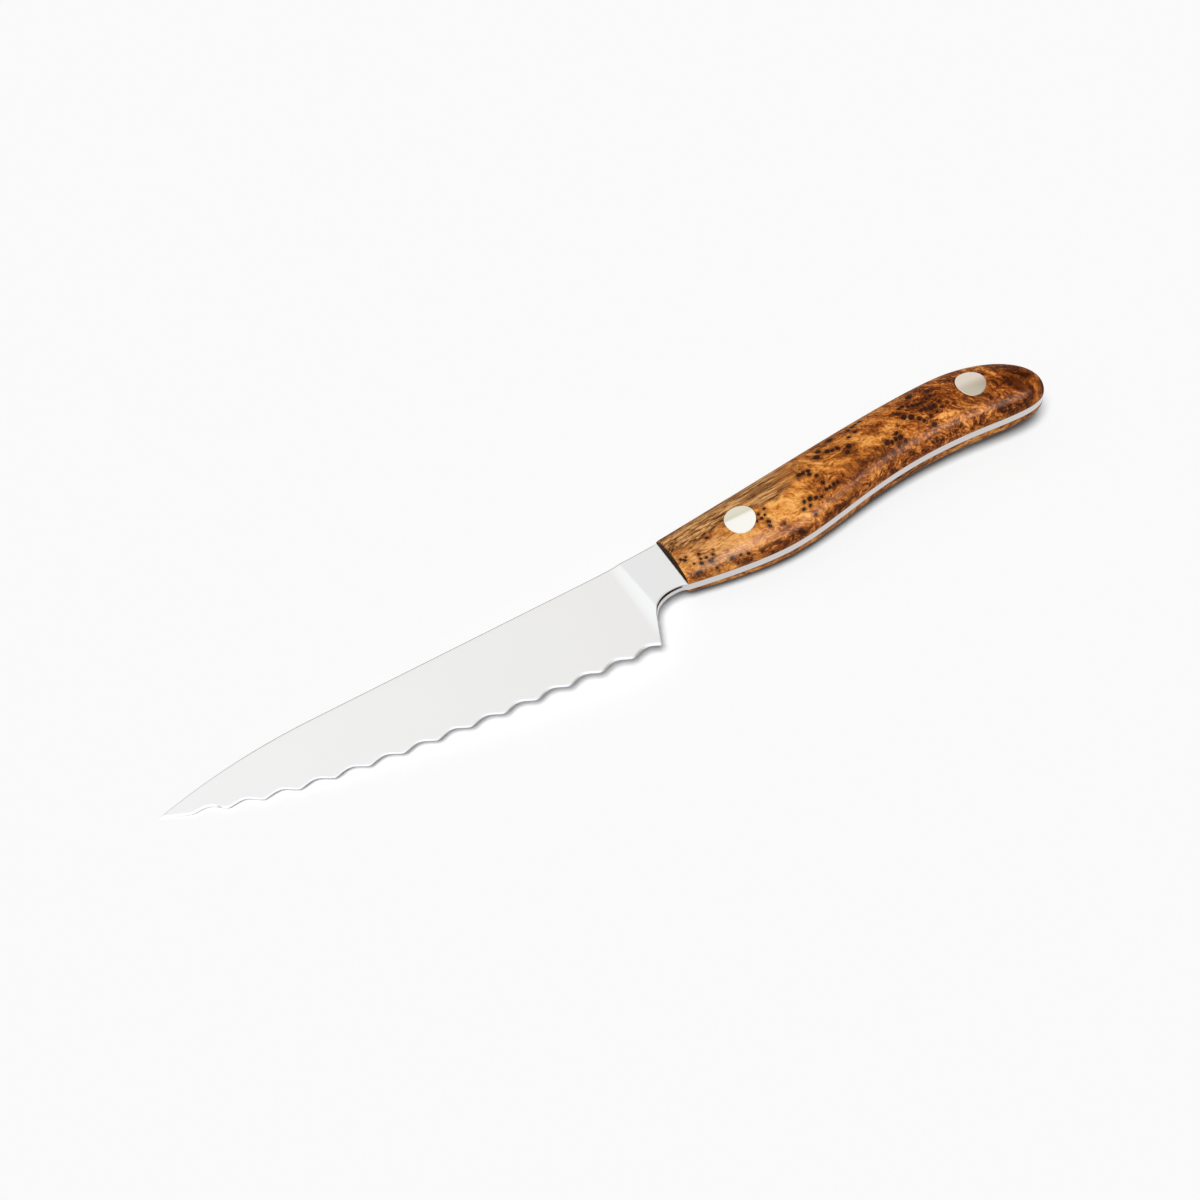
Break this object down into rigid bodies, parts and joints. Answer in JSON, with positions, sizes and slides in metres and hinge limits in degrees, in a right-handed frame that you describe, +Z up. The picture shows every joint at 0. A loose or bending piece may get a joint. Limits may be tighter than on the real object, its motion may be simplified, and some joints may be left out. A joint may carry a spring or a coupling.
{
  "type": "deli knife",
  "caption": "Fixed-blade deli knife: full-tang steel blade with a scalloped cutting edge and contoured burl wood scales held by flush two-part rivets.",
  "frame": {"origin": "On the table under the middle of the knife, which lies on its right scale and its tip: the bottom centre of the bounding box.", "axes": "+X from the tip to the butt, +Y from the cutting edge to the spine, +Z up from the table, out of the left face of the blade"},
  "size_m": [0.2502, 0.0324, 0.0212],
  "materials": {
    "steel": "satin ground stainless steel",
    "burl": "polished stabilised burl",
    "nickel_silver": "polished nickel silver",
    "glue": "hardened dark epoxy"
  },
  "bodies": {
    "root": {"blade": "steel", "left_scale": "burl", "right_scale": "burl", "left_glue_bed": "glue", "right_glue_bed": "glue", "front_rivet_bolt": "nickel_silver", "front_rivet_nut": "nickel_silver", "rear_rivet_bolt": "nickel_silver", "rear_rivet_nut": "nickel_silver"}
  },
  "joints": []
}
